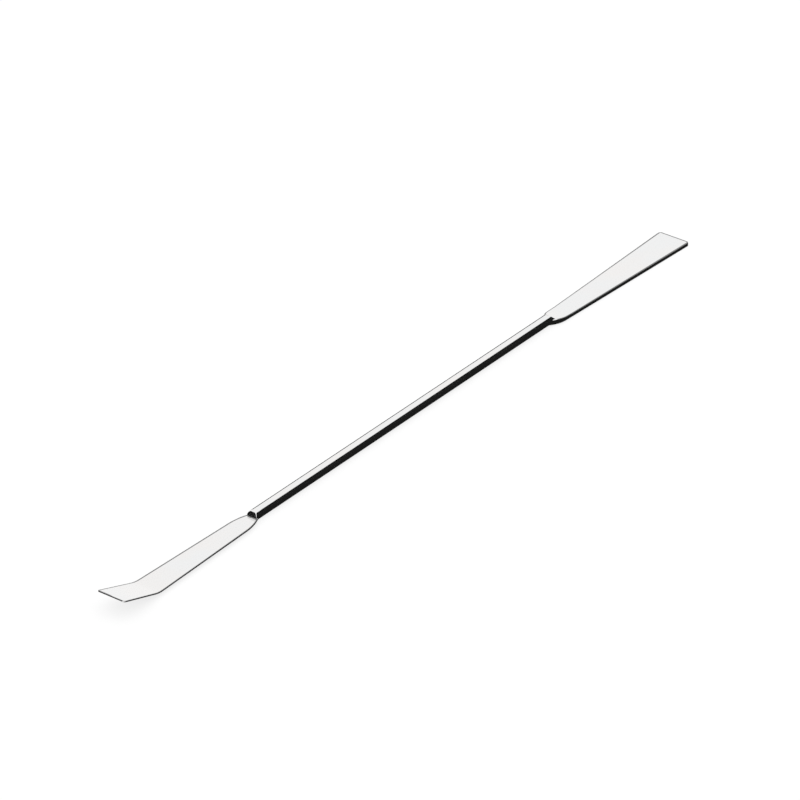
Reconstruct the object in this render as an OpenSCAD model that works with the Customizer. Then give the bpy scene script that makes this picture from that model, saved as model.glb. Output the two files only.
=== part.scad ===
// Double-ended laboratory spatula, drawn in one piece from round steel rod.
// One end is pressed to a flat blade with a square end. The other is pressed
// thinner, and its last part is turned up.
// X runs along the shank towards the flat blade, Y is its width and Z is up.
// The origin is at the middle of the overall length, on the plane that the
// spatula lies on.

/* [Shank] */

// Diameter of the round shank
shank_d = 1.9; // [1.8:0.1:3]
// Length of the round shank from neck to neck
shank_len = 79.4; // [40:0.1:160]
// How far before each neck the shank starts to step down
neck_lead = 0.45; // [0.3:0.05:0.6]

/* [Flat blade] */

// Length of the flat blade from its neck to its square end
flat_len = 37; // [20:0.1:60]
// Length of the round shoulders of the flat blade
flat_shoulder_len = 2.8; // [1.5:0.1:5]
// Length of the step between the shank and the flat blade
flat_step_len = 1.4; // [1:0.1:2]
// Width of the flat blade where its shoulders end
flat_neck_w = 3.7; // [3.4:0.05:6]
// Width of the flat blade at its square end
flat_end_w = 6.3; // [4.5:0.1:12]
// Radius of the two corners of the square end
flat_corner_r = 0.6; // [0.3:0.1:2]
// Depth of the flat blade's upper face below the middle of the shank, where
// the face's straight line meets the neck
flat_drop = 0.14; // [0.1:0.01:0.25]
// How far the upper face swells up above that line at the neck
flat_swell = 0.28; // [0.05:0.01:0.4]
// Length over which the swelling runs out
flat_swell_len = 4; // [2:0.1:8]
// Thickness of the flat blade at its neck
flat_neck_t = 0.62; // [0.4:0.01:0.65]
// Thickness of the flat blade at its square end
flat_end_t = 0.62; // [0.3:0.01:0.65]

/* [Bent blade] */

// Length of the bent blade from its neck to its bend
bent_len = 26.6; // [15:0.1:50]
// Length of the part that is turned up past the bend
tip_len = 9.2; // [6:0.1:20]
// Angle that the tip is turned up
tip_angle = 17.6; // [5:0.1:40]
// Radius of the bend on the upper face
bend_r = 6; // [2:0.5:12]
// Length of the round shoulders of the bent blade
bent_shoulder_len = 4; // [2:0.1:6]
// Length of the step between the shank and the bent blade
bent_step_len = 0.85; // [0.7:0.05:1.5]
// Width of the bent blade where its shoulders end
bent_neck_w = 3.75; // [3.4:0.05:6]
// Width of the bent blade at its bend
bend_w = 5.1; // [4:0.05:10]
// Width of the tip's end
tip_w = 5.5; // [4:0.1:12]
// Radius of the two corners of the tip
tip_corner_r = 0.5; // [0.2:0.1:1.5]
// Depth of the bent blade's upper face below the middle of the shank
bent_drop = 0.14; // [0.1:0.01:0.3]
// Thickness of the bent blade at its neck
bent_t = 0.28; // [0.2:0.01:0.5]
// Thickness of the bent blade at the end of its tip
tip_t = 0.2; // [0.15:0.01:0.3]

/* [Hidden] */

// Straight steps that stand for each round stretch of an outline
arc_steps = 10;
// Width of the blocks that a side view is cut from, wider than any blade
cut_w = 2 * max(flat_end_w, tip_w, bend_w);
// How far a cutting outline stands clear of the shank
clear = 0.5;

shank_r = shank_d / 2;
// How far the round shank runs on past each neck, inside the blade
neck_reach = max(flat_step_len, bent_step_len);
tip_reach = tip_len * cos(tip_angle);
tip_rise = tip_len * sin(tip_angle);
// The shank's middle sits off the origin by half of what one blade is longer
shank_mid = (bent_len + tip_reach - flat_len) / 2;

// Points on a circular arc, from one angle to another
function arc(c, r, from, to) = [
    for (i = [0:arc_steps]) c + r * dir(from + (to - from) * i / arc_steps)
];
function dir(angle) = [cos(angle), sin(angle)];

// Radius of the shoulder that leaves the side of the shank at the neck and
// runs smoothly into the blade's edge at the point p, which slopes by angle
function shoulder_r(p, angle) =
    let (chord = p - [0, shank_r])
    chord * chord / (2 * cross(dir(angle), chord));

// Half of a blade's shoulder: it starts as a point on the axis, inside the
// shank, and ends at the point p, where the edge slopes by angle
function shoulder(p, angle) =
    let (
        r = shoulder_r(p, angle),
        c = p - r * dir(90 + angle),
        start = 180 + asin(c.y / r)
    )
    arc(c, r, start, 90 + angle);

// Half of a blade's end corner: p is on the edge, which slopes by angle, and
// the blade ends square at x = len
function corner(p, angle, len, r) =
    let (
        x = len - r,
        y = p.y + (x - p.x) * tan(angle) - r / cos(angle)
    )
    arc([x, y], r, 90 + angle, 0);

// The other half of an outline, in the order that closes it
function mirrored(points) = [
    for (i = [len(points) - 1:-1:0]) [points[i].x, -points[i].y]
];

// Outline of the flat blade from above, from its neck at x = 0
module flat_plan() {
    p = [flat_shoulder_len, flat_neck_w / 2];
    slope = atan2((flat_end_w - flat_neck_w) / 2, flat_len - flat_shoulder_len);
    half = concat(
        shoulder(p, slope),
        corner(p, slope, flat_len, flat_corner_r)
    );
    polygon(concat(half, mirrored(half)));
}

// Outline of the bent blade from above, with its tip foreshortened
module bent_plan() {
    p = [bent_shoulder_len, bent_neck_w / 2];
    slope = atan2((bend_w - bent_neck_w) / 2, bent_len - bent_shoulder_len);
    at_bend = [bent_len, bend_w / 2];
    tip_slope = atan2((tip_w - bend_w) / 2, tip_reach);
    half = concat(
        shoulder(p, slope),
        [at_bend],
        corner(at_bend, tip_slope, bent_len + tip_reach, tip_corner_r)
    );
    polygon(concat(half, mirrored(half)));
}

// Heights of the faces of each blade at its neck
flat_top_z = shank_r - flat_drop;
flat_under_z = flat_top_z - flat_neck_t;
bent_top_z = shank_r - bent_drop;
bent_under_z = bent_top_z - bent_t;

// Height of the flat blade's upper face at a distance x past its neck
function flat_top(x) =
    flat_top_z + (flat_end_t - flat_top_z) * x / flat_len
    + flat_swell * (1 + cos(180 * min(1, x / flat_swell_len))) / 2;

// The flat blade from the side: its underside comes down to the resting
// plane at the square end, and it reaches back inside the shank
module flat_side() {
    back = -flat_shoulder_len;
    fall = flat_under_z / flat_len;
    polygon(concat(
        [[back, flat_top(0)]],
        [
            for (i = [0:arc_steps])
                let (x = flat_swell_len * i / arc_steps)
                [x, flat_top(x)]
        ],
        [
            [flat_len + clear, flat_top(flat_len + clear)],
            [flat_len + clear, -clear * fall],
            [back, flat_under_z - back * fall]
        ]
    ));
}

// The bent blade from the side: flat to the bend, then round the bend and up
// the tip, growing thinner all the way
module bent_side() {
    back = -bent_shoulder_len;
    half_bend = bend_r * tan(tip_angle / 2);
    bend_t = bent_t + (tip_t - bent_t) * bent_len / (bent_len + tip_len);
    top_c = [bent_len - half_bend, bent_top_z + bend_r];
    tip_end = [bent_len + tip_reach, bent_top_z + tip_rise];
    past_end = tip_end + clear * dir(tip_angle);
    polygon(concat(
        [[back, bent_top_z]],
        arc(top_c, bend_r, -90, tip_angle - 90),
        [past_end, past_end + tip_t * dir(tip_angle - 90)],
        arc(top_c, bend_r + bend_t, tip_angle - 90, -90),
        [[0, bent_under_z], [back, bent_under_z]]
    ));
}

// A smooth step at one end of the shank, from the shank's surface at height
// from to a blade's face at height to
function step(end, run, from, to) = [
    for (i = [0:arc_steps])
        let (t = i / arc_steps)
        [
            end * (shank_len / 2 - neck_lead + run * t),
            from + (to - from) * (1 - cos(180 * t)) / 2
        ]
];

// A step that is rounded over at its top and has a sharp foot, as a quarter
// of an ellipse
function round_step(end, run, from, to) = [
    for (i = [0:arc_steps])
        let (angle = 90 * i / arc_steps)
        [
            end * (shank_len / 2 - neck_lead + run * sin(angle)),
            from + (to - from) * (1 - cos(angle))
        ]
];

// The same points from last to first
function reversed(points) = [for (i = [len(points) - 1:-1:0]) points[i]];

// The shank from the side: at each end it steps down to the blade's upper
// face, and on the underside up to its lower face
module shank_side() {
    polygon(concat(
        step(1, flat_step_len, shank_d, flat_top(flat_step_len - neck_lead)),
        reversed(step(1, flat_step_len, 0, flat_under_z)),
        step(-1, bent_step_len, 0, bent_under_z),
        reversed(round_step(-1, bent_step_len, shank_d, bent_top_z))
    ));
}

// Stands a side view up across the whole width
module across() {
    rotate([90, 0, 0])
        linear_extrude(cut_w, center = true)
            children();
}

module shank() {
    intersection() {
        translate([0, 0, shank_r])
            rotate([0, 90, 0])
                cylinder(d = shank_d, h = shank_len + 2 * neck_reach, center = true, $fn = 64);
        across()
            shank_side();
    }
}

module flat_blade() {
    intersection() {
        linear_extrude(shank_d)
            flat_plan();
        across()
            flat_side();
    }
}

module bent_blade() {
    intersection() {
        linear_extrude(shank_d + tip_rise + clear)
            bent_plan();
        across()
            bent_side();
    }
}

module spatula() {
    color([0.78, 0.79, 0.8])
        translate([shank_mid, 0, 0]) {
            shank();
            translate([shank_len / 2, 0, 0])
                flat_blade();
            translate([-shank_len / 2, 0, 0])
                mirror([1, 0, 0])
                    bent_blade();
        }
}

spatula();
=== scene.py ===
# %% [markdown]
# # A double-ended laboratory spatula in polished steel
#
# The tool scoops, spreads and scrapes small amounts of powder. The real one
# starts as a straight piece of round steel rod. Both ends are pressed flat
# between dies, ground to their outline, and one tip is bent up. Then the whole
# tool is polished until it mirrors the room.
#
# So this lesson makes one piece too. It could be a rod and two plates joined
# by a Boolean, or a bar shaped by hand. But every part of the form follows a
# plain rule, so a Geometry Nodes tree takes a round bar and presses it, step by
# step, into the finished form, with the soft joins that dies leave. After that
# come the steel, a small studio and the camera. A mirror has no look of its
# own: most of the picture is decided by what stands around the tool.

# %% Load the frame
import math

import bpy
from mathutils import Matrix, Vector


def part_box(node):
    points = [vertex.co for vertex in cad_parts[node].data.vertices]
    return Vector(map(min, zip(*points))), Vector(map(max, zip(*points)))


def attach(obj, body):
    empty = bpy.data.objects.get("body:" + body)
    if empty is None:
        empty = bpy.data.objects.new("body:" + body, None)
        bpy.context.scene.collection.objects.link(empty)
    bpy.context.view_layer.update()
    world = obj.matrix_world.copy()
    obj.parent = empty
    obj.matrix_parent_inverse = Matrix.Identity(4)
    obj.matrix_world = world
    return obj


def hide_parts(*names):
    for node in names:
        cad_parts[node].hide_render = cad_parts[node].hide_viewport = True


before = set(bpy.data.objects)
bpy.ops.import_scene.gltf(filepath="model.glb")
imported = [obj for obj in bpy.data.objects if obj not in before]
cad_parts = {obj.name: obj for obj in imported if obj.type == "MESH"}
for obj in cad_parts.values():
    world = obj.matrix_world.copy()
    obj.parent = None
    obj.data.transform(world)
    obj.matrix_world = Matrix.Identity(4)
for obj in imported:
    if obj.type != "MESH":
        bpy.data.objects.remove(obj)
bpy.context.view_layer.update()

MM = 0.001  # one millimetre in Blender's metres
low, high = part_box("spatula")
overall = high.x - low.x
print("The tool is", round(overall / MM, 2), "mm long")

# %% [markdown]
# ## The sizes
#
# Everything hangs on a short list of sizes. Lengths run outwards from the two
# necks, where the round shank ends. A drop is how far a blade's upper face lies
# below the middle of the shank, and a strip is the ground band along a blade's
# edge. The overall length comes from the frame, so the finished tool is as long
# as the engineering model, but for the rounding of its tip.

# %% Name the sizes
SIZES = {
    "Shank diameter": 1.9 * MM,
    "Shank length": 79.4 * MM,
    "Flat length": 37 * MM,
    "Flat shoulder": 2.8 * MM,
    "Flat neck width": 3.7 * MM,
    "Flat end width": 6.3 * MM,
    "Flat corner radius": 0.6 * MM,
    "Flat drop": 0.14 * MM,
    "Flat swell": 0.28 * MM,
    "Flat swell length": 4 * MM,
    "Flat neck thickness": 0.62 * MM,
    "Flat end thickness": 0.62 * MM,
    "Flat step start": -0.45 * MM,
    "Flat step end": 0.95 * MM,
    "Flat edge radius": 0.12 * MM,
    "Flat neck strip": 0.08 * MM,
    "Flat end strip": 0.2 * MM,
    "Bent length": 26.6 * MM,
    "Bent tip angle": math.radians(17.6),
    "Bent radius": 6 * MM,
    "Bent shoulder": 4 * MM,
    "Bent neck width": 3.75 * MM,
    "Bent width at bend": 5.1 * MM,
    "Bent tip width": 5.5 * MM,
    "Bent corner radius": 0.5 * MM,
    "Bent drop": 0.14 * MM,
    "Bent neck thickness": 0.28 * MM,
    "Bent tip thickness": 0.2 * MM,
    "Bent step start": -0.45 * MM,
    "Bent step end": 0.4 * MM,
    "Bent edge radius": 0.08 * MM,
    "Bent neck strip": 0.2 * MM,
    "Bent end strip": 0.2 * MM,
}


def tip_length():
    """Length from bend to tip that brings the tool to its overall length."""
    angle = SIZES["Bent tip angle"]
    half_bend = SIZES["Bent radius"] * math.tan(angle / 2)
    to_tip = overall - SIZES["Flat length"] - SIZES["Shank length"]
    past_bend = to_tip - SIZES["Bent length"] + half_bend
    past_bend -= (SIZES["Bent radius"] + SIZES["Bent tip thickness"]) * math.sin(angle)
    return past_bend / math.cos(angle) + half_bend


SIZES["Bent tip length"] = tip_length()
shank_middle = high.x - SIZES["Flat length"] - SIZES["Shank length"] / 2
print(len(SIZES), "sizes drive the form; the bent tip is", round(tip_length() / MM, 2), "mm")

# %% [markdown]
# ## Sums made of nodes
#
# A pressed form follows formulas: an arc for each shoulder, a smooth step at
# each neck, a circle that turns into a thin bar. In a node tree each sum is a
# Math node, and long formulas soon become a tangle of noodles. A small helper
# class lets Python's own + and * lay those nodes, so the formulas below read
# like formulas. The same helper serves the material and the studio.

# %% A helper that writes sums as nodes
class Num:
    """A number that a node tree works out at every point."""

    def __init__(self, tree, socket):
        self.tree = tree
        self.socket = socket

    def __add__(self, other):
        return calc("ADD", self, other)

    def __sub__(self, other):
        return calc("SUBTRACT", self, other)

    def __rsub__(self, other):
        return calc("SUBTRACT", other, self)

    def __mul__(self, other):
        return calc("MULTIPLY", self, other)

    def __truediv__(self, other):
        return calc("DIVIDE", self, other)

    def __rtruediv__(self, other):
        return calc("DIVIDE", other, self)

    def __gt__(self, other):
        return calc("GREATER_THAN", self, other)

    __radd__ = __add__
    __rmul__ = __mul__


def plug(tree, socket, value):
    """Feeds a socket from another node's number, or sets it."""
    if isinstance(value, Num):
        tree.links.new(value.socket, socket)
    else:
        socket.default_value = value


def calc(operation, *values):
    """One Math node."""
    tree = next(v.tree for v in values if isinstance(v, Num))
    node = tree.nodes.new("ShaderNodeMath")
    node.operation = operation
    for socket, value in zip(node.inputs, values):
        plug(tree, socket, value)
    return Num(tree, node.outputs[0])


def lesser(a, b, soft=None):
    """The smaller of two numbers, run together within the distance soft."""
    if soft is None:
        return calc("MINIMUM", a, b)
    return calc("SMOOTH_MIN", a, b, soft)


def greater(a, b, soft=None):
    """The larger of two numbers, run together within the distance soft."""
    if soft is None:
        return calc("MAXIMUM", a, b)
    return calc("SMOOTH_MAX", a, b, soft)


def root(a):
    """Square root, with anything below zero taken as zero."""
    return calc("SQRT", greater(a, 0.0))


def cosine(a):
    return calc("COSINE", a)


def sine(a):
    return calc("SINE", a)


def ramp(a, start, end, kind="LINEAR"):
    """Rises from 0 to 1 as a goes from start to end, and stays there."""
    node = a.tree.nodes.new("ShaderNodeMapRange")
    node.interpolation_type = kind
    node.clamp = True
    plug(a.tree, node.inputs["Value"], a)
    plug(a.tree, node.inputs["From Min"], start)
    plug(a.tree, node.inputs["From Max"], end)
    return Num(a.tree, node.outputs["Result"])


def blend(a, b, share):
    """a where share is 0, b where it is 1."""
    return a + (b - a) * share


print("Sums can now be written as nodes")

# %% [markdown]
# ## A tree with named inputs
#
# Each size becomes an input of the tree, so that anyone can drag it in the
# modifier panel later and watch the tool follow. The tree begins with a
# cylinder of unit size: its rings will be spread along the tool, and its
# points round each ring will be pushed out to the cross-section's edge.

# %% Start the tree with a unit bar
tree = bpy.data.node_groups.new("Pressed rod", "GeometryNodeTree")
tree.interface.new_socket(name="Geometry", in_out="OUTPUT", socket_type="NodeSocketGeometry")
group_in = tree.nodes.new("NodeGroupInput")
group_out = tree.nodes.new("NodeGroupOutput")
identifiers = {}
for name, value in SIZES.items():
    socket = tree.interface.new_socket(name=name, in_out="INPUT", socket_type="NodeSocketFloat")
    socket.default_value = value
    identifiers[name] = socket.identifier
size = {name: Num(tree, group_in.outputs[name]) for name in SIZES}

POINTS_ROUND = 192  # points round each ring
QUARTER = POINTS_ROUND // 4

bar = tree.nodes.new("GeometryNodeMeshCylinder")
bar.fill_type = "NGON"
bar.inputs["Vertices"].default_value = POINTS_ROUND
bar.inputs["Radius"].default_value = 1.0
bar.inputs["Depth"].default_value = 1.0

place = tree.nodes.new("GeometryNodeInputPosition")
split = tree.nodes.new("ShaderNodeSeparateXYZ")
tree.links.new(place.outputs[0], split.inputs[0])
bar_x, bar_y, bar_z = (Num(tree, split.outputs[i]) for i in range(3))
print("The tree has", len(identifiers), "named inputs")

# %% [markdown]
# ## Where the rings stand
#
# A long straight shank needs few rings, a neck or a corner needs many. The
# list below walks from the bent tip to the square end. Each stretch has its
# length and its number of rings, and the last word says how they are spaced:
# evenly, or crowded towards the stretch's start or end in the way that points
# on a quarter circle are, which is what a rounded corner wants.

# %% Spread the rings along the tool
half_bend = size["Bent radius"] * calc("TANGENT", size["Bent tip angle"] * 0.5)
bend_arc = size["Bent radius"] * size["Bent tip angle"]
bend_at = size["Bent length"] - half_bend
bent_reach = bend_at + bend_arc + size["Bent tip length"] - half_bend
half_shank = size["Shank length"] * 0.5

FADE = 4 * MM  # how far back along the shank the rings begin to change
FOOT = 0.1 * MM  # a short stretch of its own past the foot of the bent blade's step
stretches = [
    (size["Bent corner radius"], 14, "start"),
    (size["Bent tip length"] - half_bend - size["Bent corner radius"], 8, "even"),
    (bend_arc, 16, "even"),
    (bend_at - size["Bent shoulder"], 14, "even"),
    (size["Bent shoulder"] - size["Bent step end"] - FOOT, 24, "even"),
    (FOOT, 4, "even"),
    (size["Bent step end"] - size["Bent step start"], 44, "start"),
    (size["Bent step start"] + FADE, 10, "even"),
    (size["Shank length"] - 2 * FADE, 16, "even"),
    (size["Flat step start"] + FADE, 10, "even"),
    (size["Flat step end"] - size["Flat step start"], 36, "even"),
    (size["Flat shoulder"] - size["Flat step end"], 16, "even"),
    (size["Flat length"] - size["Flat shoulder"] - size["Flat corner radius"], 20, "even"),
    (size["Flat corner radius"], 18, "end"),
]
RINGS = sum(rings for _, rings, _ in stretches)
bar.inputs["Side Segments"].default_value = RINGS

ring = (bar_z + 0.5) * RINGS
along = 0 - half_shank - bent_reach
first = 0
for length, rings, spacing in stretches:
    share = ramp(ring, first, first + rings)
    if spacing == "start":
        share = 1 - cosine(share * (math.pi / 2))
    if spacing == "end":
        share = sine(share * (math.pi / 2))
    along = along + length * share
    first += rings
print(RINGS, "rings stand along the tool")

# %% [markdown]
# ## Which end is it?
#
# Both ends are pressed in the same way, with different sizes. So the tree
# measures one distance, outwards from the nearer neck, and picks the sizes of
# the flat end or of the bent end by the side that a point is on.

# %% Measure outwards from each neck
on_flat_end = along > 0
angle = calc("ARCTAN2", bar_y, bar_x)  # round the ring, from the +Y side over the top
side_y = calc("SIGN", cosine(angle))
side_z = calc("SIGN", sine(angle))
beyond_neck = calc("ABSOLUTE", along) - half_shank
radius = size["Shank diameter"] * 0.5


def end_size(name):
    """The size with this name at the end that a point is on."""
    return blend(size["Bent " + name], size["Flat " + name], on_flat_end)


step_start = end_size("step start")
step_end = end_size("step end")
edge_radius = end_size("edge radius")
print("Two ends, one set of formulas")

# %% [markdown]
# ## The outline from above
#
# Each blade leaves the side of the shank in a round shoulder, widens in a
# straight line and ends square with small round corners. The shoulder is the
# one arc that starts on the shank's side at the neck and runs smoothly into
# the straight edge. The corner is a quarter circle that caps the line. A curve
# could be drawn and filled, but a formula gives the half-width at every ring.

# %% Outline of the two blades
INSIDE = 0.002 * MM  # keeps the flat end just inside the engineering model's box


def shoulder_then_line(length, neck_w, slope):
    """Half-width: an arc from the shank's side, then a straight edge."""
    rise = neck_w * 0.5 - radius
    fall_back = 1 / root(slope * slope + 1)
    away = (rise - length * slope) * fall_back
    arc = (length * length + rise * rise) / (2 * away)
    centre_x = length + arc * slope * fall_back
    centre_y = neck_w * 0.5 - arc * fall_back
    off = beyond_neck - centre_x
    on_arc = centre_y + root(arc * arc - off * off)
    on_line = neck_w * 0.5 + (beyond_neck - length) * slope
    return blend(on_arc, on_line, beyond_neck > length)


def round_corner(half_w, edge_at_corner, reach, corner):
    """Caps the half-width with a quarter circle at the blade's end."""
    off = greater(beyond_neck - (reach - corner), 0.0)
    return lesser(half_w, edge_at_corner - corner + root(corner * corner - off * off))


flat_slope = (size["Flat end width"] - size["Flat neck width"]) * 0.5 / (
    size["Flat length"] - size["Flat shoulder"]
)
flat_edge = size["Flat end width"] * 0.5 - size["Flat corner radius"] * flat_slope - INSIDE
flat_half_w = round_corner(
    shoulder_then_line(size["Flat shoulder"], size["Flat neck width"], flat_slope),
    flat_edge,
    size["Flat length"],
    size["Flat corner radius"],
)

bent_slope = (size["Bent width at bend"] - size["Bent neck width"]) * 0.5 / (
    size["Bent length"] - size["Bent shoulder"]
)
tip_share = ramp(beyond_neck, size["Bent length"], bent_reach)
bent_half_w = round_corner(
    blend(
        shoulder_then_line(size["Bent shoulder"], size["Bent neck width"], bent_slope),
        blend(size["Bent width at bend"], size["Bent tip width"], tip_share) * 0.5,
        beyond_neck > size["Bent length"],
    ),
    size["Bent tip width"] * 0.5,
    bent_reach,
    size["Bent corner radius"],
)
half_w = blend(bent_half_w, flat_half_w, on_flat_end)
print("The outline is an arc, a line and a corner at each end")

# %% [markdown]
# ## The blades from the side
#
# The upper faces lie a little below the middle of the shank, because the dies
# press from both sides. The flat blade keeps its thickness. It falls gently
# until its underside comes down to the bench, and near the neck its upper face
# swells up. The bent blade is thinner, and thinner still at its tip. At the
# very end both faces round over into the end face. The lower edges are left
# sharper than the upper ones.

# %% Heights of each blade's faces
LOWER_EDGE_SHARE = 0.4  # rounding of a lower edge, as a share of an upper one
ROUND_LIMIT = 0.9  # largest rounding, as a share of half the thickness

flat_share = beyond_neck / size["Flat length"]
flat_neck_top = radius - size["Flat drop"]
swell = 1 + cosine(ramp(beyond_neck, 0.0, size["Flat swell length"]) * math.pi)
flat_line = blend(flat_neck_top, size["Flat end thickness"], flat_share)
flat_top = flat_line + size["Flat swell"] * 0.5 * swell
flat_under = (flat_neck_top - size["Flat neck thickness"]) * (1 - flat_share)
bent_top = radius - size["Bent drop"]
bent_under = bent_top - blend(
    size["Bent neck thickness"], size["Bent tip thickness"], beyond_neck / bent_reach
)
top = blend(bent_top, flat_top, on_flat_end)
under = blend(bent_under, flat_under, on_flat_end)
middle = (top + under) * 0.5

reach = blend(bent_reach, size["Flat length"], on_flat_end)
into_round = greater(beyond_neck - (reach - edge_radius), 0.0)
rounded_off = edge_radius - root(edge_radius * edge_radius - into_round * into_round)
half_t = (top - under) * 0.5 - rounded_off
corner_round = lesser(edge_radius, half_t * ROUND_LIMIT)
corner_round = corner_round * blend(LOWER_EDGE_SHARE, 1.0, side_z > 0)
print("Both faces of both blades have their heights")

# %% [markdown]
# ## The cross-section of a blade
#
# A blade's section is a flat bar with rounded edges. Walking round one
# quarter of a ring, the first points climb the side, the next six turn the
# edge and the rest cross the face. The first two rows on the face mark out a
# narrow strip along the edge, where the grinder took off the burr. The steel
# paints this strip nearly black, as a painted dark reflection. They also
# keep the face optically flat right up to its edge. No one grinds by hand with
# the same pressure everywhere: the strip, and with it the painted dark line,
# has its full width at the +Y side, and is finer at the -Y side, above all on
# the bent blade.

# %% Points round a blade's section
quarter_angle = calc(
    "ARCTAN2", calc("ABSOLUTE", sine(angle)), calc("ABSOLUTE", cosine(angle))
)
step_round = quarter_angle * (QUARTER / (math.pi / 2))

SIDE_STEPS = 2
TURN_STEPS = 6
STRIP_FADE = 0.02 * MM  # distance in which the ground strip ends
BENT_FINE_SHARE = 0.3  # width of the strip at the -Y side, as a share of the other
FLAT_FINE_SHARE = 0.9

turn = ramp(step_round, SIDE_STEPS, SIDE_STEPS + TURN_STEPS) * (math.pi / 2)
onto_face = step_round - (SIDE_STEPS + TURN_STEPS)
strip = blend(end_size("neck strip"), end_size("end strip"), ramp(beyond_neck, 0.0, reach))
fine_share = blend(BENT_FINE_SHARE, FLAT_FINE_SHARE, on_flat_end)
strip = strip * blend(fine_share, 1.0, side_y > 0)


def section_side(half_width):
    """How far from the middle a point of the blade's section is."""
    inner = half_width - corner_round - strip - STRIP_FADE
    return (
        half_width
        - corner_round * (1 - cosine(turn))
        - strip * ramp(onto_face, 0.0, 1.0)
        - STRIP_FADE * ramp(onto_face, 1.0, 2.0)
        - inner * ramp(onto_face, 2.0, QUARTER - SIDE_STEPS - TURN_STEPS)
    )


blade_y = section_side(half_w)
side_z_share = ramp(step_round, 0.0, SIDE_STEPS)
blade_z = (half_t - corner_round) * side_z_share + corner_round * sine(turn)
print(SIDE_STEPS + TURN_STEPS, "of", QUARTER, "steps go round each edge")

# %% [markdown]
# ## The neck
#
# At each neck the round shank meets a thin blade. The section there is the
# two shapes laid over each other: a circle, cut off by the step that the
# upper and lower dies leave, and the thin bar of the blade. Seen from a point
# inside both, the outline in any direction is simply the further of the two.
# A Boolean would join them as well, but it leaves a hard seam. The soft
# versions of smallest and largest leave the little radii that dies and
# polishing leave.
#
# The step itself falls smoothly to the flat blade. At the bent blade it is
# rounded at its top and ends in a sharp foot, like a quarter of an ellipse.

# %% Section of the neck
CUT_SOFT = 0.02 * MM  # radius where a step cuts the round shank
JOIN_SOFT = 0.06 * MM  # radius where the blade grows out of the shank
CHANGE_START = 0.6 * MM  # how far before the neck the rings have settled
LEAST = 0.01  # keeps a division by a ray's lean away from zero

step_share = ramp(beyond_neck, step_start, step_end)
smooth_fall = (1 - cosine(step_share * math.pi)) * 0.5
round_fall = 1 - root(1 - step_share * step_share)
upper_cut = blend(radius * 2, top, blend(round_fall, smooth_fall, on_flat_end))
lower_cut = under * smooth_fall

settle = ramp(beyond_neck, -FADE, -CHANGE_START, "SMOOTHSTEP")
eye = blend(radius, middle, settle)
aim_y = blend(radius * cosine(quarter_angle), section_side(greater(half_w, radius)), settle)
aim_z = blend(radius + radius * sine(angle), middle + side_z * blade_z, settle) - eye
aim_length = root(aim_y * aim_y + aim_z * aim_z)
ray_y = aim_y / aim_length
ray_z = aim_z / aim_length

eye_drop = eye - radius
along_ray = eye_drop * ray_z
to_circle = root(along_ray * along_ray - eye_drop * eye_drop + radius * radius) - along_ray
to_upper = (upper_cut - eye) / greater(ray_z, LEAST)
to_lower = (eye - lower_cut) / greater(0 - ray_z, LEAST)
to_shank = lesser(lesser(to_circle, to_upper, CUT_SOFT), to_lower, CUT_SOFT)
to_side = half_w / greater(ray_y, LEAST)
to_face = half_t / greater(calc("ABSOLUTE", ray_z), LEAST)
to_blade = lesser(to_side, to_face, JOIN_SOFT)
to_edge = greater(to_shank, to_blade, JOIN_SOFT)
print("Shank and blade are joined by the further of two rays")

# %% [markdown]
# ## The bend
#
# The bent tip is turned up after the blade is pressed. A point keeps its
# distance from the upper face while that face rolls round an arc and then
# runs on in a straight line, so the blade keeps its thickness in the bend. A
# Simple Deform modifier could do it too, but this takes the bend's own radius.

# %% Lay the section along the tool and bend the tip
BLADE_START = 1.3 * MM  # here the section starts to become the blade's alone
BLADE_FULL = 2.3 * MM  # and from here on it is
on_blade = ramp(beyond_neck, BLADE_START, BLADE_FULL, "SMOOTHSTEP")
section_y = side_y * blend(to_edge * ray_y, blade_y, on_blade)
section_z = blend(eye + to_edge * ray_z, middle + side_z * blade_z, on_blade)

turned = ramp(beyond_neck, bend_at, bend_at + bend_arc) * size["Bent tip angle"]
past_bend = greater(beyond_neck - bend_at - bend_arc, 0.0)
below_face = bent_top - section_z
bent_out = (
    lesser(beyond_neck, bend_at)
    + size["Bent radius"] * sine(turned)
    + past_bend * cosine(turned)
    + below_face * sine(turned)
)
bent_z = (
    bent_top
    + size["Bent radius"] * (1 - cosine(turned))
    + past_bend * sine(turned)
    - below_face * cosine(turned)
)
final_x = blend(0 - half_shank - bent_out, half_shank + beyond_neck, on_flat_end) + shank_middle
final_z = blend(bent_z, section_z, on_flat_end)

joined = tree.nodes.new("ShaderNodeCombineXYZ")
for socket, value in zip(joined.inputs, (final_x, section_y, final_z)):
    plug(tree, socket, value)
moved = tree.nodes.new("GeometryNodeSetPosition")
tree.links.new(joined.outputs[0], moved.inputs["Position"])
print("Every point of the bar knows where it goes")

# %% [markdown]
# ## Masks for the finish
#
# Steel looks different where the grinder and the dies have been: the strip
# along the edges stays dull, and pressed faces are a little less even than the
# drawn shank. The material also paints the strip and the upper half of each
# rounded edge nearly black, a painted dark reflection that draws the dark
# outline of the blades. The tree knows exactly where those places are, so it
# stores two masks on the mesh for the material to read.

# %% Store masks, shade smooth and hand over the material
STEP_FOOT = 0.2 * MM  # the strip begins over this last part of the step


def store(geometry, name, value):
    """Keeps a number on every point of the mesh, under a name."""
    node = tree.nodes.new("GeometryNodeStoreNamedAttribute")
    node.data_type = "FLOAT"
    node.domain = "POINT"
    node.inputs["Name"].default_value = name
    tree.links.new(geometry, node.inputs["Geometry"])
    plug(tree, node.inputs["Value"], value)
    return node.outputs["Geometry"]


steel = bpy.data.materials.new("polished_steel")
steel.use_nodes = True

# the strip mask: upper half of each rounded edge and the ground strip, which the steel makes
# duller and paints nearly black as a painted dark reflection
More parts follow.
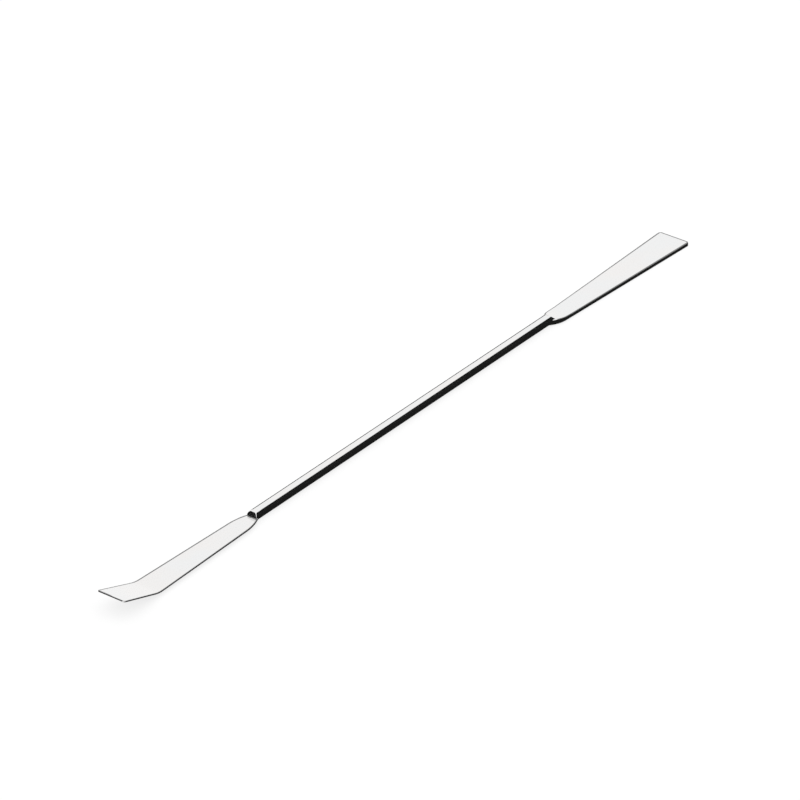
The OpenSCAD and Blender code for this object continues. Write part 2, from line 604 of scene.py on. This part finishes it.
half_turn = -0.5 * TURN_STEPS  # the step at the middle of the rounded edge
along_edge = ramp(onto_face, half_turn - 1.0, half_turn + 1.0)
along_edge = along_edge * (1 - ramp(onto_face, 1.0, 2.0))
strip_start = reach - edge_radius - strip
along_end = ramp(beyond_neck, strip_start - STRIP_FADE, strip_start)
dull_strip_painted_dark = greater(along_edge, along_end * ramp(onto_face, -2.0, 0.0))

# both masks are stored before the points move, while the bar's own places still hold
past_step = ramp(beyond_neck, step_end - STEP_FOOT, step_end)
masked = store(bar.outputs["Mesh"], "dull_strip_painted_dark", dull_strip_painted_dark * past_step)
masked = store(masked, "pressed", step_share)
tree.links.new(masked, moved.inputs["Geometry"])

smooth = tree.nodes.new("GeometryNodeSetShadeSmooth")
tree.links.new(moved.outputs["Geometry"], smooth.inputs["Geometry"])
realize = tree.nodes.new("GeometryNodeRealizeInstances")
tree.links.new(smooth.outputs[0], realize.inputs[0])
finish = tree.nodes.new("GeometryNodeSetMaterial")
finish.inputs["Material"].default_value = steel
tree.links.new(realize.outputs[0], finish.inputs["Geometry"])
tree.links.new(finish.outputs[0], group_out.inputs["Geometry"])
print(len(tree.nodes), "nodes in the tree")

# %% [markdown]
# ## From tree to mesh
#
# The tree runs as a modifier on an empty object. Its inputs are set by their
# identifiers before the object is looked at for the first time. Then the
# result is copied into a plain mesh, and the modifier goes.

# %% Make the spatula's mesh
maker = bpy.data.objects.new("maker", bpy.data.meshes.new("maker"))
bpy.context.scene.collection.objects.link(maker)
press = maker.modifiers.new("Pressed rod", "NODES")
press.node_group = tree
for name, value in SIZES.items():
    press[identifiers[name]] = value
seen = maker.evaluated_get(bpy.context.evaluated_depsgraph_get())
mesh = bpy.data.meshes.new_from_object(seen)
mesh.name = "spatula_steel"
spatula = bpy.data.objects.new("spatula_steel", mesh)
bpy.context.scene.collection.objects.link(spatula)
maker.modifiers.remove(press)
bpy.data.objects.remove(maker)
print("The spatula has", len(mesh.polygons), "faces and", len(mesh.materials), "material")

# %% [markdown]
# ## Polished stainless steel
#
# Polished steel is nearly a mirror, and its character is in what spoils the
# mirror: fine lines that the polishing belt leaves along the length, a few
# hairline scratches from use, a faint cloudiness from wiping, and the ground
# strip along the edges. Each of the first three is a noise stretched to the
# right size. A picture of worn metal could be laid over the tool instead, but
# noise has no seam and stays sharp from any distance. The lines come from one
# group that is used twice, for the belt's lines and for the scratches, with
# other sizes and another direction.

# %% A group that draws fine lines
LINE_INPUTS = {
    "Line length": 10 * MM,
    "Line width": 0.1 * MM,
    "Turn": 0.0,
    "Threshold": 0.5,
}
LINE_FADE = 0.25  # how much noise above the threshold makes a full line

lines_group = bpy.data.node_groups.new("Fine lines", "ShaderNodeTree")
for name, value in LINE_INPUTS.items():
    socket = lines_group.interface.new_socket(
        name=name, in_out="INPUT", socket_type="NodeSocketFloat"
    )
    socket.default_value = value
lines_group.interface.new_socket(name="Lines", in_out="OUTPUT", socket_type="NodeSocketFloat")

lines_in = lines_group.nodes.new("NodeGroupInput")
lines_out = lines_group.nodes.new("NodeGroupOutput")
line_length, line_width, line_turn, line_threshold = (
    Num(lines_group, lines_in.outputs[name]) for name in LINE_INPUTS
)
coords = lines_group.nodes.new("ShaderNodeTexCoord")
turner = lines_group.nodes.new("ShaderNodeVectorRotate")
turner.rotation_type = "Z_AXIS"
lines_group.links.new(coords.outputs["Object"], turner.inputs["Vector"])
plug(lines_group, turner.inputs["Angle"], line_turn)
parts = lines_group.nodes.new("ShaderNodeSeparateXYZ")
lines_group.links.new(turner.outputs[0], parts.inputs[0])
x, y, z = (Num(lines_group, parts.outputs[i]) for i in range(3))
stretched = lines_group.nodes.new("ShaderNodeCombineXYZ")
for socket, value in zip(stretched.inputs, (x / line_length, y / line_width, z / line_width)):
    plug(lines_group, socket, value)
noise = lines_group.nodes.new("ShaderNodeTexNoise")
noise.inputs["Scale"].default_value = 1.0
noise.inputs["Detail"].default_value = 3.0
noise.inputs["Roughness"].default_value = 0.6
lines_group.links.new(stretched.outputs[0], noise.inputs["Vector"])
drawn = Num(lines_group, noise.outputs["Fac"])
line_share = ramp(drawn, line_threshold, line_threshold + LINE_FADE)
plug(lines_group, lines_out.inputs["Lines"], line_share)
print("Fine lines can be drawn at any size")

# %% [markdown]
# The base colour, the roughness and a very shallow bump all follow the same
# masks, so a scratch is duller, a touch darker and really a groove. The ground
# strip is duller than the polished faces and is painted nearly black, a painted
# dark reflection that gives the blades their dark outline. What is the same
# everywhere, such as full metal, is set on the shader itself.

# %% The steel itself
# the strip's dark colour is painted dark reflection, not the steel's own colour
STRIP_PAINTED_DARK = 0.85  # how far the ground strip goes towards the dark colour
POLISH = 0.06  # roughness of the cleanest steel

nodes = steel.node_tree
nodes.nodes.clear()
output = nodes.nodes.new("ShaderNodeOutputMaterial")
shader = nodes.nodes.new("ShaderNodeBsdfPrincipled")
nodes.links.new(shader.outputs[0], output.inputs["Surface"])
shader.inputs["Metallic"].default_value = 1.0


def lines(length, width, turn, threshold):
    """One layer of fine lines in the steel."""
    node = nodes.nodes.new("ShaderNodeGroup")
    node.node_tree = lines_group
    for name, value in zip(LINE_INPUTS, (length, width, turn, threshold)):
        node.inputs[name].default_value = value
    return Num(nodes, node.outputs["Lines"])


def mask(name):
    """A mask that the spatula's mesh carries."""
    node = nodes.nodes.new("ShaderNodeAttribute")
    node.attribute_name = name
    return Num(nodes, node.outputs["Fac"])


belt = lines(14 * MM, 0.12 * MM, 0.0, 0.4)
scratches = lines(3 * MM, 0.05 * MM, math.radians(9), 0.68)
where = nodes.nodes.new("ShaderNodeTexCoord")
clouds = nodes.nodes.new("ShaderNodeTexNoise")
clouds.inputs["Scale"].default_value = 1 / (7 * MM)
clouds.inputs["Detail"].default_value = 2.0
nodes.links.new(where.outputs["Object"], clouds.inputs["Vector"])
cloud = ramp(Num(nodes, clouds.outputs["Fac"]), 0.35, 0.65, "SMOOTHSTEP")
# edge mask: the strip is duller, and is painted nearly black as a painted dark reflection
edge = mask("dull_strip_painted_dark")
pressed = mask("pressed")

tint = nodes.nodes.new("ShaderNodeMix")
tint.data_type = "RGBA"
tint.inputs["A"].default_value = (0.800, 0.804, 0.806, 1)
tint.inputs["B"].default_value = (0.812, 0.800, 0.792, 1)
plug(nodes, tint.inputs["Factor"], cloud)
darker = nodes.nodes.new("ShaderNodeMix")
darker.data_type = "RGBA"
# near-black colour: painted dark reflection along the strip; the faint darkening from the
# polishing lines and scratches is real
darker.inputs["B"].default_value = (0.08, 0.08, 0.08, 1)
nodes.links.new(tint.outputs["Result"], darker.inputs["A"])
marks = belt * 0.01 + scratches * 0.02
plug(nodes, darker.inputs["Factor"], greater(edge * STRIP_PAINTED_DARK, marks))
nodes.links.new(darker.outputs["Result"], shader.inputs["Base Color"])

roughness = belt * 0.03 + scratches * 0.1 + cloud * 0.02 + edge * 0.06 + pressed * 0.02 + POLISH
plug(nodes, shader.inputs["Roughness"], roughness)

bump = nodes.nodes.new("ShaderNodeBump")
bump.inputs["Strength"].default_value = 0.12
bump.inputs["Distance"].default_value = 0.002 * MM
plug(nodes, bump.inputs["Height"], belt * 0.5 - scratches)
nodes.links.new(bump.outputs[0], shader.inputs["Normal"])
print("The steel has", len(nodes.nodes), "nodes")

# %% [markdown]
# ## The floor
#
# The tool lies on a light table: a pale sheet that glows by itself. Little of
# its light is lost under the tool, so only a trace of shadow is left. It could
# be a white paper with strong lamps above, but a shadow would then join the
# dark lower half of the shank and blur its outline. The steel doesn't mirror
# the floor. It mirrors only the tent, which comes last.

# %% Glowing white floor
FLOOR_HALF = 2.0  # in metres, far beyond the edge of the picture
FLOOR_GLOW = 0.78  # with the light that falls on it, this makes full white
floor_mesh = bpy.data.meshes.new("floor")
corners = [
    (-FLOOR_HALF, -FLOOR_HALF, 0),
    (FLOOR_HALF, -FLOOR_HALF, 0),
    (FLOOR_HALF, FLOOR_HALF, 0),
    (-FLOOR_HALF, FLOOR_HALF, 0),
]
floor_mesh.from_pydata(corners, [], [(0, 1, 2, 3)])
floor = bpy.data.objects.new("floor", floor_mesh)
bpy.context.scene.collection.objects.link(floor)
paper = bpy.data.materials.new("floor_paper")
paper.use_nodes = True
paper_shader = paper.node_tree.nodes["Principled BSDF"]
paper_shader.inputs["Base Color"].default_value = (0.25, 0.25, 0.25, 1)
paper_shader.inputs["Roughness"].default_value = 0.9
paper_shader.inputs["Specular IOR Level"].default_value = 0.0
paper_shader.inputs["Emission Color"].default_value = (1, 1, 1, 1)
paper_shader.inputs["Emission Strength"].default_value = FLOOR_GLOW
floor_mesh.materials.append(paper)
floor.visible_glossy = False
print("The floor is", 2 * FLOOR_HALF, "m square")

# %% [markdown]
# ## The camera
#
# A small thing is shown from well back with a long lens, so that its far end
# isn't much smaller than its near end. The camera looks down by about 30
# degrees, at a slant along the tool, which shows both blades, the round of the
# shank and the rise of the tip at once. A constraint could aim it at a target,
# but a plain matrix is exact and depends on nothing else.

# %% Camera
VIEW_AZIMUTH = math.radians(-52.709)
VIEW_ELEVATION = math.radians(30.294)
VIEW_DISTANCE = 984 * MM
AIM_LEFT = 0.765 * MM  # the camera's aim lies this far left of the shank's middle
AIM_UP = 2.399 * MM  # and this far up from it
ahead = Vector((-math.sin(VIEW_AZIMUTH), math.cos(VIEW_AZIMUTH), 0))
to_right = Vector((ahead.y, -ahead.x, 0))
forward = ahead * math.cos(VIEW_ELEVATION) - Vector((0, 0, math.sin(VIEW_ELEVATION)))
upward = to_right.cross(forward)

camera_data = bpy.data.cameras.new("camera")
camera_data.sensor_width = 36
camera_data.lens = 271.3
camera = bpy.data.objects.new("camera", camera_data)
bpy.context.scene.collection.objects.link(camera)
aim = Vector((shank_middle, 0, SIZES["Shank diameter"] / 2))
aim = aim - to_right * AIM_LEFT + upward * AIM_UP
spot = aim - forward * VIEW_DISTANCE
turn_to = Matrix((to_right, upward, -forward)).transposed().to_4x4()
camera.matrix_world = Matrix.Translation(spot) @ turn_to
bpy.context.scene.camera = camera
print("The camera stands", round(spot.length, 3), "m away")

# %% [markdown]
# ## The light tent
#
# Soft white light comes from all round. A mirror inside a plain white tent
# would vanish, so a studio hangs dark cloths beside it: their reflections draw
# the lower half of the shank, the sides of the blades and the steps in black.
# Here the tent is the world. The mirror sees it with a dark cloth at the right,
# one at the left, a low one at the back that draws the far outline, and dark
# below the horizon. Dark planes could hang there as real cloths, but they would
# also take light from the floor. These are seen by the steel alone.

# %% Soft light with dark cloths
CLOTH_FADE = 6  # degrees over which the side of a cloth fades
HEM = 0.015  # and how much height its top edge takes
CLOTH_SHEEN = 0.012  # cloth is never quite black

world = bpy.data.worlds.new("light_tent")
world.use_nodes = True
bpy.context.scene.world = world
tent = world.node_tree
tent.nodes.clear()
look = tent.nodes.new("ShaderNodeTexCoord")
direction = tent.nodes.new("ShaderNodeSeparateXYZ")
tent.links.new(look.outputs["Generated"], direction.inputs[0])
dir_x, dir_y, dir_z = (Num(tent, direction.outputs[i]) for i in range(3))
dir_ahead = dir_x * ahead.x + dir_y * ahead.y
dir_right = dir_x * to_right.x + dir_y * to_right.y
bearing = calc("ARCTAN2", dir_right, dir_ahead)


def dark_cloth(centre, half_width, height):
    """1 where a dark cloth hangs, up to an angle above the horizon."""
    aside = calc("ABSOLUTE", bearing - math.radians(centre))
    outer = math.radians(half_width + CLOTH_FADE)
    inside = ramp(aside, outer, math.radians(half_width), "SMOOTHSTEP")
    top_z = math.sin(math.radians(height))
    return inside * ramp(dir_z, top_z + HEM, top_z - HEM)


cloth_right = dark_cloth(centre=77, half_width=22, height=36.5)
cloth_left = dark_cloth(centre=-103, half_width=22, height=42)
cloth_back = dark_cloth(centre=-25, half_width=18, height=8)
above = ramp(dir_z, -0.16, -0.04, "SMOOTHSTEP")
mirrored = above * (1 - cloth_right) * (1 - cloth_left) * (1 - cloth_back)
mirrored = greater(mirrored, CLOTH_SHEEN * ramp(dir_z, 0.5, 0.4))

rays = tent.nodes.new("ShaderNodeLightPath")
seen_by_mirror = Num(tent, rays.outputs["Is Glossy Ray"])
FLOOR_LIGHT = 1.0  # brightness of the tent as the floor and the camera see it
MIRROR_LIGHT = 1.08  # brightness of the tent in the steel
background = tent.nodes.new("ShaderNodeBackground")
background.inputs["Color"].default_value = (1, 1, 1, 1)
brightness = blend(FLOOR_LIGHT, mirrored * MIRROR_LIGHT, seen_by_mirror)
plug(tent, background.inputs["Strength"], brightness)
sky_out = tent.nodes.new("ShaderNodeOutputWorld")
tent.links.new(background.outputs[0], sky_out.inputs["Surface"])
bpy.context.scene.view_settings.view_transform = "Standard"
print("The tent is lit, and three dark cloths hang in it")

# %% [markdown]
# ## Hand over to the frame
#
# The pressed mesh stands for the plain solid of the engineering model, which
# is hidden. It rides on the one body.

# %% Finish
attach(spatula, "root")
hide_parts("spatula")
